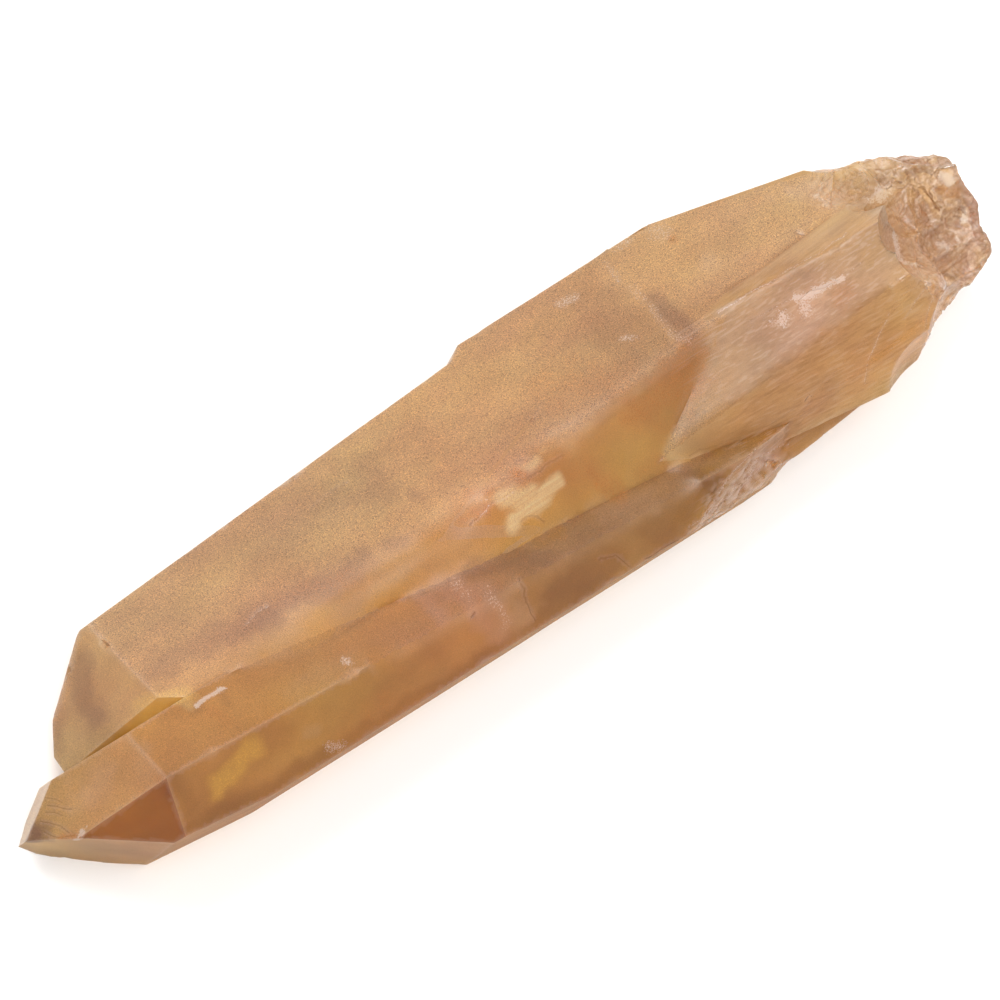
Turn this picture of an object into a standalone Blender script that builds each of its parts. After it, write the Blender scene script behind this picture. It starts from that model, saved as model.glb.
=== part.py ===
"""Natural citrine point: quartz crystals grown side by side along one common axis, lying down.

Two long crystals and a smaller raised one share the direction of their long axis, which runs along X
with the points toward +X. Every crystal is a six-sided prism trimmed by its own flat faces. The base
end and one flank are broken, with curved shell-like fractures. All of it is one solid.

Frame: metres, +Z up, the specimen rests on its long lower edges at Z = 0, origin under its middle.
A face is given by three numbers: its azimuth about the X axis in degrees (0 faces up, 90 faces +Y),
the tilt of its normal toward +X in degrees, and its distance in millimetres from the growth axis.
"""
import math
import random

import bmesh
import bpy
from mathutils import Euler, Matrix, Vector

MM = 0.001

# Place of the growth axis in the object's frame, in millimetres.
AXIS_X = -0.15
AXIS_Y = 0.95
AXIS_HEIGHT = 7.4

# Finish of the stone: the grey-gold of frosted citrine.
STONE_COLOUR = (0.58, 0.36, 0.16, 1.0)
STONE_ROUGHNESS = 0.45

# The six-sided stock that every crystal is cut from, in millimetres.
STOCK_LENGTH = 160.0
STOCK_RADIUS = 45.0
PRISM_SIDES = 6

# Size of the block that flattens the lower edges, in millimetres.
FLOOR_BLOCK = (160.0, 80.0, 40.0)

# Smoothness of the balls that leave the chips: fine for the ones over the given size in millimetres.
CHIP_DETAIL = 3
LARGE_CHIP = 7.0

# Angle between a tip face's normal and the plane across the axis, in quartz.
TIP = 38.2

# Main crystal, from its point to the middle.
MAIN_FACES = [
    (-31.7, 2.6, 7.8),
    (28.8, 3.0, 8.2),
    (91.0, 0.0, 4.5),
    (149.0, 0.0, 4.2),
    (-149.0, 1.0, 10.0),
    (-91.2, 3.3, 14.1),
    (-30.8, TIP + 2.4, 32.5),
    (28.6, TIP - 2.2, 28.7),
    (-105.0, 39.0, 36.7),
    (-150.0, TIP, 36.0),
    (150.0, TIP, 35.5),
    (173.5, 73.2, 51.2),
    (5.3, -10.3, 6.6),
]
# The same crystal behind a low growth step, up to the broken base.
BACK_FACES = [
    (-31.7, 3.0, 7.75),
    (20.5, -1.0, 7.5),
    (94.0, -5.0, 14.7),
    (94.0, 3.0, 12.2),
    (149.0, 0.0, 7.0),
    (-149.0, 0.0, 8.2),
    (-91.1, 0.0, 15.4),
    (-90.6, -13.3, 21.6),
    (-90.0, 30.0, 10.75),
    (64.4, 29.3, 7.95),
    (150.0, 40.0, 18.0),
]
# Crystal along the right flank, with the longest point.
SIDE_FACES = [
    (-31.0, -5.7, 2.6),
    (31.1, -2.0, 11.1),
    (87.5, 0.7, 13.1),
    (87.8, 6.7, 17.0),
    (149.0, 0.3, 11.4),
    (-149.0, 0.0, 3.4),
    (-90.2, -1.0, -0.3),
    (-30.7, TIP + 0.3, 36.1),
    (28.0, TIP - 0.3, 40.0),
    (89.1, TIP, 39.7),
    (149.0, TIP + 0.6, 43.1),
    (-91.0, TIP - 0.6, 34.4),
    (-150.0, TIP, 38.9),
    (52.5, -9.8, 15.25),
]
# Short raised crystal over the base.
CROWN_FACES = [
    (-2.5, 14.0, 1.84),
    (-58.0, 3.7, 6.6),
    (40.0, 8.1, 5.75),
    (-90.0, 25.0, -7.1),
    (150.0, 0.0, 2.0),
    (-150.0, 0.0, 2.0),
]
# Facets of the broken base: a point in the facet and the direction it faces, in millimetres.
MAIN_END = [
    ((-24.0, 0.0, 0.0), (-1.0, 0.0, 0.0)),
]
BACK_END = [
    ((-59.9, 0.0, 2.0), (-1.0, 0.05, 0.25)),
    ((-59.5, -5.0, 2.0), (-0.85, -0.5, 0.1)),
    ((-59.3, 5.2, 2.0), (-0.78, 0.62, 0.25)),
    ((-46.5, 10.7, 2.0), (-0.36, 0.93, 0.1)),
    ((-57.8, -8.0, 2.0), (-0.57, -0.82, 0.1)),
    ((-50.0, -10.2, 1.0), (-0.35, -0.94, 0.05)),
    ((-56.0, 0.0, -4.0), (-0.8, 0.0, -0.6)),
]
CROWN_END = [
    ((-53.0, 0.0, 6.0), (-0.8, 0.1, 0.6)),
    ((-46.3, 10.0, 4.0), (-0.42, 0.88, 0.2)),
    ((-53.0, -3.0, 7.0), (-0.5, -0.75, 0.4)),
]
SIDE_END = [
    ((-27.0, 12.7, 1.0), (-0.45, 0.88, -0.1)),
    ((-36.0, 10.0, 0.0), (-0.9, 0.4, 0.1)),
]

# Shell-like chips: name, centre, half sizes along its own axes in millimetres, and turn in degrees.
CHIPS = [
    ("lens", (-45.0, 17.2, 11.0), (9.5, 8.5, 10.0), (0, 0, -12)),
    ("saddle", (-54.0, 0.5, 17.5), (10.0, 8.0, 8.5), (0, 12, 0)),
    ("notch", (-47.4, -14.0, 4.5), (2.6, 3.4, 7.0), (0, 0, -25)),
    ("end_low", (-62.5, 6.5, -4.0), (6.0, 7.0, 6.0), (0, 0, 20)),
    ("end_left", (-60.5, -11.0, 8.0), (7.5, 5.5, 6.5), (10, 0, 30)),
    ("under_back", (-50.0, 3.0, -15.5), (16.0, 9.0, 9.5), (0, -8, 10)),
]

# Smaller chips spread evenly over the broken base, seen from a point inside it.
BASE_HEART = (-46.0, -0.5, 0.0)
BASE_CHIPS = 46
BASE_SPREAD = 84.0
BASE_CHIP_SIZE = (3.2, 6.6)
BASE_CHIP_DEPTH = (0.4, 1.15)
# Width and thickness of such a chip as shares of its length.
BASE_CHIP_WIDTH = (0.6, 0.95)
BASE_CHIP_THICKNESS = (0.32, 0.6)
GOLDEN_TURN = 137.5
SEED = 12


def clear_scene():
    for item in list(bpy.data.objects):
        bpy.data.objects.remove(item, do_unlink=True)


def face_normal(azimuth, tilt):
    around = math.radians(azimuth)
    lean = math.radians(tilt)
    return Vector((math.sin(lean), math.cos(lean) * math.sin(around), math.cos(lean) * math.cos(around)))


def trim(bm, point, normal):
    """Keep the part of a closed mesh behind a plane and close the cut with one face."""
    geometry = bm.verts[:] + bm.edges[:] + bm.faces[:]
    cut = bmesh.ops.bisect_plane(bm, geom=geometry, plane_co=point, plane_no=normal, clear_outer=True)
    rim = [item for item in cut["geom_cut"] if isinstance(item, bmesh.types.BMEdge)]
    if rim:
        bmesh.ops.edgeloop_fill(bm, edges=rim)


def finish_mesh(name, bm):
    """Bring a mesh drawn about the growth axis in millimetres to its place in metres."""
    bmesh.ops.recalc_face_normals(bm, faces=bm.faces[:])
    bmesh.ops.translate(bm, vec=(AXIS_X, AXIS_Y, AXIS_HEIGHT), verts=bm.verts[:])
    bmesh.ops.scale(bm, vec=(MM, MM, MM), verts=bm.verts[:])
    mesh = bpy.data.meshes.new(name)
    bm.to_mesh(mesh)
    bm.free()
    return bpy.data.objects.new(name, mesh)


def crystal(name, faces, broken_end):
    """Cut a crystal out of a six-sided prism lying along X."""
    bm = bmesh.new()
    lay_down = Matrix.Rotation(math.radians(90), 4, "Y")
    bmesh.ops.create_cone(bm, cap_ends=True, segments=PRISM_SIDES, radius1=STOCK_RADIUS,
                          radius2=STOCK_RADIUS, depth=STOCK_LENGTH, matrix=lay_down)
    for azimuth, tilt, distance in faces:
        normal = face_normal(azimuth, tilt)
        trim(bm, normal * distance, normal)
    for point, normal in broken_end:
        trim(bm, Vector(point), Vector(normal).normalized())
    return finish_mesh(name, bm)


def chip(name, centre, radii, turn):
    """A flattened ball that leaves a curved fracture where it bites."""
    bm = bmesh.new()
    detail = CHIP_DETAIL + 1 if max(radii) > LARGE_CHIP else CHIP_DETAIL
    bmesh.ops.create_icosphere(bm, subdivisions=detail, radius=1.0)
    angles = Euler([math.radians(angle) for angle in turn])
    place = Matrix.Translation(centre) @ angles.to_matrix().to_4x4() @ Matrix.Diagonal((*radii, 1.0))
    bmesh.ops.transform(bm, matrix=place, verts=bm.verts[:])
    return finish_mesh(name, bm)


def floor_block():
    """The block under the resting plane, which meets the lower edges at Z = 0."""
    bm = bmesh.new()
    bmesh.ops.create_cube(bm, size=1.0)
    bmesh.ops.scale(bm, vec=FLOOR_BLOCK, verts=bm.verts[:])
    bmesh.ops.translate(bm, vec=(0.0, 0.0, -AXIS_HEIGHT - FLOOR_BLOCK[2] / 2), verts=bm.verts[:])
    return finish_mesh("floor_block", bm)


def combine(target, other, operation):
    cutters.objects.link(other)
    other.hide_render = True
    other.display_type = "WIRE"
    step = target.modifiers.new(operation.lower() + "_" + other.name, "BOOLEAN")
    step.operation = operation
    step.object = other


def stone_material():
    """Frosted quartz tinted gold by traces of iron."""
    material = bpy.data.materials.new("citrine")
    material.use_nodes = True
    shader = material.node_tree.nodes["Principled BSDF"]
    shader.inputs["Base Color"].default_value = STONE_COLOUR
    shader.inputs["Roughness"].default_value = STONE_ROUGHNESS
    shader.inputs["Metallic"].default_value = 0.0
    return material


def roughen_base(target):
    """Bite small shells out of the broken base, each one just under the surface that it meets."""
    shape = target.evaluated_get(bpy.context.evaluated_depsgraph_get())
    place = Vector((AXIS_X, AXIS_Y, AXIS_HEIGHT))
    heart = (Vector(BASE_HEART) + place) * MM
    dice = random.Random(SEED)
    bites = []
    for index in range(BASE_CHIPS):
        share = (index + 0.5) / BASE_CHIPS
        off_axis = math.acos(1.0 - share * (1.0 - math.cos(math.radians(BASE_SPREAD))))
        around = math.radians(index * GOLDEN_TURN)
        side = math.sin(off_axis)
        direction = Vector((-math.cos(off_axis), side * math.cos(around), side * math.sin(around)))
        found, spot, normal, _ = shape.ray_cast(heart, direction)
        if not found:
            raise RuntimeError("the broken base has no surface where a chip is due")
        long_size = dice.uniform(*BASE_CHIP_SIZE)
        wide_size = long_size * dice.uniform(*BASE_CHIP_WIDTH)
        thick_size = long_size * dice.uniform(*BASE_CHIP_THICKNESS)
        depth = dice.uniform(*BASE_CHIP_DEPTH)
        centre = spot / MM - place + normal * (thick_size - depth)
        turn = normal.to_track_quat("Z", "Y").to_euler()
        turn_degrees = [math.degrees(angle) for angle in turn]
        bites.append(("base_" + str(index + 1), centre, (long_size, wide_size, thick_size), turn_degrees))
    for name, centre, radii, turn in bites:
        combine(target, chip(name, centre, radii, turn), "DIFFERENCE")


clear_scene()
parts = bpy.data.collections.new("citrine_point")
cutters = bpy.data.collections.new("cutters")
bpy.context.scene.collection.children.link(parts)
bpy.context.scene.collection.children.link(cutters)

point = crystal("crystal", MAIN_FACES, MAIN_END)
point.data.materials.append(stone_material())
parts.objects.link(point)
combine(point, crystal("back", BACK_FACES, BACK_END), "UNION")
combine(point, crystal("side", SIDE_FACES, SIDE_END), "UNION")
combine(point, crystal("crown", CROWN_FACES, CROWN_END), "UNION")
for name, centre, radii, turn in CHIPS:
    combine(point, chip(name, centre, radii, turn), "DIFFERENCE")
roughen_base(point)
combine(point, floor_block(), "DIFFERENCE")
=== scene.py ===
"""Dresses the citrine point: one frosted, honey-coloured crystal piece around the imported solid."""
from math import cos, pi, radians, sin

import bmesh
import bpy
import numpy as np
from bpy.props import FloatProperty, FloatVectorProperty, PointerProperty
from mathutils import Matrix, Vector
from mathutils.bvhtree import BVHTree
from mathutils.geometry import delaunay_2d_cdt, tessellate_polygon


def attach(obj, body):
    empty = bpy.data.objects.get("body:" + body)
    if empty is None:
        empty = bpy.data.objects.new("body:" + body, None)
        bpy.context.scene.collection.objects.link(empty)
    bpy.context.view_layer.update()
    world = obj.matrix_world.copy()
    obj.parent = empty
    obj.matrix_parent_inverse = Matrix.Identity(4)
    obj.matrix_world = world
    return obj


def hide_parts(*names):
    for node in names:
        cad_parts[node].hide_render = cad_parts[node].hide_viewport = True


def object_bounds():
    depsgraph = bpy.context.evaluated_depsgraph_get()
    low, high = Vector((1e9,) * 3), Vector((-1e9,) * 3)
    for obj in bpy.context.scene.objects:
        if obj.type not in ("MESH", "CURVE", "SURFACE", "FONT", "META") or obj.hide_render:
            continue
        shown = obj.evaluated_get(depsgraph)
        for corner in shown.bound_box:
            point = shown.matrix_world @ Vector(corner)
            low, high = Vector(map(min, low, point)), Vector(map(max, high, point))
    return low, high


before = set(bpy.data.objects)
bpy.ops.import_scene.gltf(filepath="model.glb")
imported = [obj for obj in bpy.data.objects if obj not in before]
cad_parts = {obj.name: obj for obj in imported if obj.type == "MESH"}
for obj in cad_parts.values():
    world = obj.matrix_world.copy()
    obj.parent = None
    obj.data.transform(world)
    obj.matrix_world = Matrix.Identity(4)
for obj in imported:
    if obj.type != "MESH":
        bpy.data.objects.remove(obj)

bl_info = {
    "name": "Citrine Point",
    "version": (1, 0, 0),
    "blender": (4, 5, 0),
    "location": "View3D > Sidebar > Citrine",
    "description": "Builds the frosted surface, the finish and the setting of a natural citrine point",
    "category": "Add Mesh",
}

CAD_BOX = [list(corner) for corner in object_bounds()]
MM = 0.001

# The growth axis, about which every crystal face is laid out, in millimetres.
AXIS = np.array([-0.15, 0.95, 7.4])

# Edges of the solid under these lengths are closed up, in millimetres. The first that works is used.
SHORTEST_EDGES = (0.08, 0.07, 0.06, 0.05, 0.04, 0.03, 0.02, 0.01)

# Distance between neighbouring points, in millimetres. It is the fine one behind a plane across the axis and
# about some spots that need crisp detail.
COARSE_SPACING = 0.44
FINE_SPACING = 0.2
FINE_BEHIND = -43.0
FINE_SPOTS = (((0.5, 2.5, 15.0), 5.0), ((57.0, 4.0, 9.0), 4.5), ((41.0, 1.9, 15.5), 2.5))

# Hairlines: distance between their points, half their width, and how far from a face they still mark it.
MARK_STEP = 0.18
MARK_HALF_WIDTH = 0.11
MARK_REACH = 0.35

# Bends between triangles: over the first they stay crisp in the shading, over the second the edge is worn and
# lightened by a painted highlight, and about the third and less is smoothed away on curved fractures.
CRISP_ANGLE = radians(24.0)
WEAR_AND_HIGHLIGHT_ANGLE = radians(14.0)
FACET_ANGLE = radians(11.0)

# Growth steps that fade out: how much they are softened, over an ellipsoid of this centre, half sizes and soft
# outer share, or along a line between two ends with this radius, in millimetres from the growth axis.
SOFT_PATCHES = (
    (0.9, (2.0, 1.0, 7.5), (17.0, 5.5, 4.0), 0.5),
    (0.75, (22.0, -1.0, 8.0), (14.0, 4.0, 3.5), 0.5),
    (0.2, (-12.0, -2.0, 8.0), (18.0, 4.0, 4.0), 0.4),
)
SOFT_CREASES = (
    (0.45, (-17.0, 5.9, 6.0), (-41.0, 3.6, 11.5), 2.4),
    (0.5, (-27.0, -4.5, 8.5), (-45.0, -4.0, 11.5), 1.6),
    (0.5, (22.0, 6.8, 9.3), (-14.0, 9.3, 6.6), 2.6),
)

# Relief of the fractures: size, half height and random seed of the chips, and of the ripples and the grit.
CHIPS = ((3.2, 0.18, 3), (1.3, 0.10, 4))
RIPPLE_SIZE, RIPPLE_WAVE, RIPPLE_HEIGHT = 3.4, 0.8, 0.03
GRIT_SIZE, GRIT_HEIGHT = 0.8, 0.05

# The fractures are set out by this much before the relief is cut into them, in millimetres.
FRACTURE_STOCK = 0.22
HAIRLINE_DEPTH = 0.05
BOX_GAP = 0.01

# The camera stands far over the stone, leans toward the points and is turned about its own line of sight.
VIEW_TILT = radians(20.0)
VIEW_TURN = radians(32.68)
VIEW_DISTANCE = 800.0
LENS = 288.0
SENSOR = 36.0

# The camera's picture is this many dots wide and high. Marks on the stone are placed in it, in dots from the
# left and from the top.
PICTURE = 1000


# ---------------------------------------------------------------- numbers shared by the shapes

def unit(rows):
    """Each row divided by its own length."""
    return rows / np.maximum(np.linalg.norm(rows, axis=1, keepdims=True), 1e-12)


def ease(value, low, high):
    """0 below low, 1 above high, and a smooth S between them."""
    share = np.clip((value - low) / (high - low), 0.0, 1.0)
    return share * share * (3.0 - 2.0 * share)


def drawn(table, cells):
    """The table's row for each cube of a lattice, picked by mixing the cube's three whole numbers."""
    key = cells @ np.array([73856093, 19349663, 83492791])
    return table[(key ^ key >> 13) % len(table)]


def random_field(points, spacing, seed):
    """Values between -1 and 1: a random value at each corner of a cubic lattice, eased between corners."""
    table = np.random.default_rng(seed).uniform(-1.0, 1.0, 4096)
    place = points / spacing
    cell = np.floor(place).astype(np.int64)
    part = place - cell
    part = part * part * (3.0 - 2.0 * part)
    total = np.zeros(len(points))
    for corner in range(8):
        step = np.array([corner & 1, corner >> 1 & 1, corner >> 2 & 1])
        weight = np.prod(np.where(step == 1, part, 1.0 - part), axis=1)
        total += weight * drawn(table, cell + step)
    return total


def rough_field(points, spacing, octaves, seed):
    """Random fields added together, each with half the spacing and half the height of the one before."""
    total = np.zeros(len(points))
    for octave in range(octaves):
        total += random_field(points, spacing / 2 ** octave, seed + octave) / 2 ** octave
    return total


def view_axes(tilt, turn):
    """The picture's right and up and the way back to the camera, which leans by the tilt and rolls by the turn."""
    toward = Vector((sin(tilt), 0.0, cos(tilt)))
    down_slope = Vector((cos(tilt), 0.0, -sin(tilt)))
    level = Vector((0.0, 1.0, 0.0))
    right = -cos(turn) * down_slope + sin(turn) * level
    up = -sin(turn) * down_slope - cos(turn) * level
    return right, up, toward


def placed(marks, node):
    """The marks with each corner moved from the picture onto the stone, in millimetres from the growth axis.

    A corner lies where the camera's line of sight through its dot first meets the solid.
    """
    solid = BVHTree.FromObject(node, bpy.context.evaluated_depsgraph_get())
    right, up, toward = view_axes(VIEW_TILT, VIEW_TURN)
    eye = (toward * VIEW_DISTANCE + Vector(AXIS)) * MM
    slope = SENSOR / LENS / PICTURE

    def met(across, down):
        sight = (across - PICTURE / 2) * slope * right + (PICTURE / 2 - down) * slope * up - toward
        place = solid.ray_cast(eye, sight.normalized())[0]
        if place is None:
            raise RuntimeError(f"the mark at {across}, {down} lies beside the stone")
        return np.array(place) / MM - AXIS

    return [(*sizes, [met(*corner) for corner in corners]) for *sizes, corners in marks]


# ---------------------------------------------------------------- the crystal's surface

def flat_faces(node, shortest):
    """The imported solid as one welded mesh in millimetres, its flat faces whole again.

    Edges under the shortest length are closed up.
    """
    bm = bmesh.new()
    bm.from_mesh(node.data)
    bmesh.ops.remove_doubles(bm, verts=bm.verts[:], dist=2e-6)
    bmesh.ops.scale(bm, vec=(1.0 / MM,) * 3, verts=bm.verts[:])
    bmesh.ops.dissolve_degenerate(bm, dist=shortest, edges=bm.edges[:])
    bmesh.ops.dissolve_limit(bm, angle_limit=radians(0.3), verts=bm.verts[:], edges=bm.edges[:])
    bm.verts.index_update()
    bm.edges.index_update()
    bm.faces.ensure_lookup_table()
    return bm


def inside_ring(points, ring):
    """Which points of a plane lie inside a closed ring: those with an odd count of crossings to one side."""
    ahead = np.roll(ring, -1, axis=0)
    inside = np.zeros(len(points), bool)
    for start in range(0, len(points), 4096):
        px, py = points[start:start + 4096, 0, None], points[start:start + 4096, 1, None]
        spans = (ring[:, 1] > py) != (ahead[:, 1] > py)
        rise = np.where(ahead[:, 1] == ring[:, 1], 1.0, ahead[:, 1] - ring[:, 1])
        cross = ring[:, 0] + (py - ring[:, 1]) / rise * (ahead[:, 0] - ring[:, 0])
        inside[start:start + 4096] = (spans & (px < cross)).sum(axis=1) % 2 == 1
    return inside


def clear_of_ring(points, ring, gap):
    """Which points keep at least that gap from every point of a ring."""
    clear = np.zeros(len(points), bool)
    for start in range(0, len(points), 1024):
        away = points[start:start + 1024, None] - ring[None]
        clear[start:start + 1024] = (away ** 2).sum(axis=2).min(axis=1) > gap * gap
    return clear


def filled_ring(ring, grid):
    """Triangles that fill a ring and use the points of a grid inside it.

    A ring that crosses itself by a hair is filled from its own corners alone.
    """
    every = [Vector(row) for row in np.concatenate([ring, grid]).tolist()]
    _, _, corners, came_from, _, _ = delaunay_2d_cdt(every, [], [list(range(len(ring)))], 1, 1e-7)
    if corners and all(came_from):
        filled = np.array([item[0] for item in came_from])[np.array(corners)]
        sides = np.concatenate([filled[:, [0, 1]], filled[:, [1, 2]], filled[:, [2, 0]]])
        ahead = (sides[:, 0] + 1) % len(ring)
        outer = sides[(sides[:, 0] < len(ring)) & (sides[:, 1] == ahead), 0]
        if (np.bincount(outer) == 1).sum() == len(ring):
            return filled
    return np.array(tessellate_polygon([[Vector((x, y, 0.0)) for x, y in ring.tolist()]]))


def closed(triangles):
    """Whether every edge is shared by exactly two triangles."""
    edges = np.sort(np.concatenate([triangles[:, pair] for pair in ([0, 1], [1, 2], [2, 0])]), axis=1)
    return (np.unique(edges, axis=0, return_counts=True)[1] == 2).all()


def fine_here(points):
    """Which places get the finer spacing: behind a plane across the axis, or near one of the fine spots."""
    fine = points[:, 0] < FINE_BEHIND
    for centre, reach in FINE_SPOTS:
        fine |= ((points - np.array(centre)) ** 2).sum(axis=1) < reach * reach
    return fine


def lattice(low, high, spacing, dice):
    """A triangular lattice over a rectangle: rows 0.866 of the spacing apart, every other one moved by half.

    Each point is shaken by up to a sixth of the spacing.
    """
    columns = np.arange(low[0], high[0], spacing)
    rows = np.arange(low[1], high[1], spacing * 0.866)
    grid = np.stack(np.meshgrid(columns, rows), axis=2)
    grid[1::2, :, 0] += spacing / 2
    grid = grid.reshape(-1, 2)
    return grid + dice.uniform(-0.16, 0.16, grid.shape) * spacing


def along_marks(marks):
    """Points along each hairline, 0.18 mm apart, with the line's direction and strength at each.

    A line runs straight from one of its corners to the next, and strays to either side by a random field.
    """
    spots, ways, strengths = [], [], []
    for strength, corners in marks:
        for start, end in zip(corners, corners[1:]):
            start, end = np.array(start, float), np.array(end, float)
            length = np.linalg.norm(end - start)
            share = np.linspace(0.0, 1.0, max(2, round(length / MARK_STEP)))[:, None]
            spots.append(start + (end - start) * share)
            ways.append(np.tile((end - start) / length, (len(share), 1)))
            strengths.append(np.full(len(share), strength))
    spots, ways = np.concatenate(spots), np.concatenate(ways)
    stray = np.stack([random_field(spots, 1.1, seed) for seed in (61, 62, 63)], axis=1)
    return spots + AXIS + 0.16 * stray, ways, np.concatenate(strengths)


def mark_rows(marks, normal, centre, axes, ring):
    """The rows of points that carry hairlines over one flat face: the line itself, and one on each side."""
    spots, ways, strengths = marks
    near = np.abs((spots - centre) @ normal) < MARK_REACH
    flat = (spots[near] - centre) @ axes.T
    beside = np.cross(normal, ways[near]) @ axes.T
    beside /= np.maximum(np.linalg.norm(beside, axis=1, keepdims=True), 1e-9)
    rows = np.concatenate([flat, flat + beside * MARK_HALF_WIDTH, flat - beside * MARK_HALF_WIDTH])
    values = np.concatenate([strengths[near], np.zeros(2 * len(flat))])
    if not len(rows):
        return rows, values
    kept = inside_ring(rows, ring)
    rows, values = rows[kept], values[kept]
    if len(rows):
        kept = clear_of_ring(rows, ring, 0.05)
        rows, values = rows[kept], values[kept]
    order = np.argsort(-np.abs(values), kind="stable")
    rows, values = rows[order], values[order]
    away = ((rows[:, None] - rows[None]) ** 2).sum(axis=2)
    crowded = (np.tril(away < 0.005, -1)).any(axis=1)
    return rows[~crowded], values[~crowded]


def even_mesh(bm, coarse, fine, marks):
    """Nearly equal triangles over every flat face of the solid, smaller ones over the broken base.

    Each edge is cut into equal steps of about the spacing. Each face gets a triangular lattice of points
    a little shaken about, with closer rows of points along its hairlines, and all are joined by triangles
    that keep the edges as they are.
    """
    points = [np.array([vert.co for vert in bm.verts])]
    count = len(points[0])
    chains = {}
    for edge in bm.edges:
        low, high = np.array(edge.verts[0].co), np.array(edge.verts[1].co)
        spacing = fine if min(low[0], high[0]) < FINE_BEHIND else coarse
        steps = max(1, round(edge.calc_length() / spacing))
        share = np.arange(1, steps)[:, None] / steps
        points.append(low + (high - low) * share)
        chains[edge.index] = [edge.verts[0].index, *range(count, count + steps - 1), edge.verts[1].index]
        count += steps - 1
    points = np.concatenate(points)
    dice = np.random.default_rng(5)
    extra, triangles, sources, traced = [], [], [], [np.zeros(len(points))]
    normals = np.array([face.normal for face in bm.faces])
    for face in bm.faces:
        ring = []
        for loop in face.loops:
            chain = chains[loop.edge.index]
            ring += chain[:-1] if loop.vert == loop.edge.verts[0] else chain[:0:-1]
        normal = np.array(face.normal)
        across = np.cross(normal, (0.0, 0.6, 0.8) if abs(normal[0]) > 0.9 else (1.0, 0.0, 0.0))
        across /= np.linalg.norm(across)
        along = np.cross(across, normal)
        centre = points[ring[0]]
        flat = np.stack([(points[ring] - centre) @ across, (points[ring] - centre) @ along], axis=1)
        if np.cross(across, along) @ normal < 0.0:
            along, flat[:, 1] = -along, -flat[:, 1]
        low, high = flat.min(axis=0), flat.max(axis=0)
        axes = np.stack([across, along])
        rows, values = mark_rows(marks, normal, centre, axes, flat)
        kept = [rows]
        for spacing, behind in ((fine, True), (coarse, False)):
            grid = lattice(low, high, spacing, dice)
            grid = grid[fine_here(centre + grid @ axes) == behind]
            grid = grid[inside_ring(grid, flat)]
            grid = grid[clear_of_ring(grid, flat, spacing * 0.62)]
            if len(rows) and len(grid):
                grid = grid[clear_of_ring(grid, rows, 0.17)]
            kept.append(grid)
        grid = np.concatenate(kept)
        traced.append(np.concatenate([values, np.zeros(len(grid) - len(rows))]))
        corners = filled_ring(flat, grid)
        ids = np.array(ring + list(range(count, count + len(grid))))
        triangles.append(ids[corners])
        sources.append(np.full(len(corners), face.index))
        extra.append(centre + grid[:, :1] * across + grid[:, 1:] * along)
        count += len(grid)
    bm.free()
    points = np.concatenate([points, *extra])
    return points, np.concatenate(triangles), np.concatenate(sources), normals, np.concatenate(traced)


def face_normals(points, triangles):
    """The unit normal of each triangle."""
    a, b, c = (points[triangles[:, corner]] for corner in range(3))
    return unit(np.cross(b - a, c - a))


def gather(triangles, values, count):
    """Sum over each point's triangles of a value of theirs."""
    corners = triangles.ravel()
    spread = np.repeat(values, 3, axis=0)
    return np.stack([np.bincount(corners, spread[:, axis], count) for axis in range(spread.shape[1])], axis=1)


def touching(triangles):
    """Pairs of triangles that share an edge, and the edge's two points."""
    edges = np.concatenate([triangles[:, [0, 1]], triangles[:, [1, 2]], triangles[:, [2, 0]]])
    owner = np.tile(np.arange(len(triangles)), 3)
    edges = np.sort(edges, axis=1)
    order = np.lexsort((edges[:, 1], edges[:, 0]))
    edges, owner = edges[order].reshape(-1, 2, 2), owner[order].reshape(-1, 2)
    return owner, edges[:, 0]


def smooth_facets(points, triangles, rounds, keep):
    """Turns each normal toward those of its neighbours that differ little, and moves the points to suit.

    Edges much sharper than the angle keep stay as they are, so that curved fractures lose their facets
    and the crystal's own edges don't.
    """
    pairs, _ = touching(triangles)
    count = len(points)
    uses = np.bincount(triangles.ravel(), minlength=count)[:, None]
    for _ in range(rounds):
        normals = face_normals(points, triangles)
        gap = 1.0 - (normals[pairs[:, 0]] * normals[pairs[:, 1]]).sum(axis=1)
        weight = np.exp(-gap / (1.0 - cos(keep)))[:, None]
        turned = normals * 0.5
        for one, other in ((0, 1), (1, 0)):
            pull_of_other = weight * normals[pairs[:, other]]
            for axis in range(3):
                turned[:, axis] += np.bincount(pairs[:, one], pull_of_other[:, axis], len(normals))
        turned = unit(turned)
        centres = points[triangles].mean(axis=1)
        pull = np.zeros_like(points)
        for corner in range(3):
            away = centres - points[triangles[:, corner]]
            push = turned * (turned * away).sum(axis=1, keepdims=True)
            for axis in range(3):
                pull[:, axis] += np.bincount(triangles[:, corner], push[:, axis], count)
        points = points + pull / uses
    return points


def point_normals(points, triangles):
    """The mean normal of each point's triangles."""
    return unit(gather(triangles, face_normals(points, triangles), len(points)))


def nearest_seed(points, spacing, table):
    """The ways to each place from the nearest scattered point and from its cube's middle, and its table row.

    The points are scattered one to a cube, away from its middle by 0.45 of the first three numbers of its row.
    """
    place = points / spacing
    cell = np.floor(place).astype(np.int64)
    nearest = np.full(len(points), 9.0)
    away, middle = np.zeros((2, len(points), 3))
    rows = np.zeros((len(points), table.shape[1]))
    for step in np.ndindex(3, 3, 3):
        other = cell + np.array(step) - 1
        row = drawn(table, other)
        offset = place - other - 0.5
        way = offset - 0.45 * row[:, :3]
        far = (way ** 2).sum(axis=1)
        closer = far < nearest
        for kept, new in ((nearest, far), (away, way), (middle, offset), (rows, row)):
            kept[closer] = new[closer]
    return away, middle, rows


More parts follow.
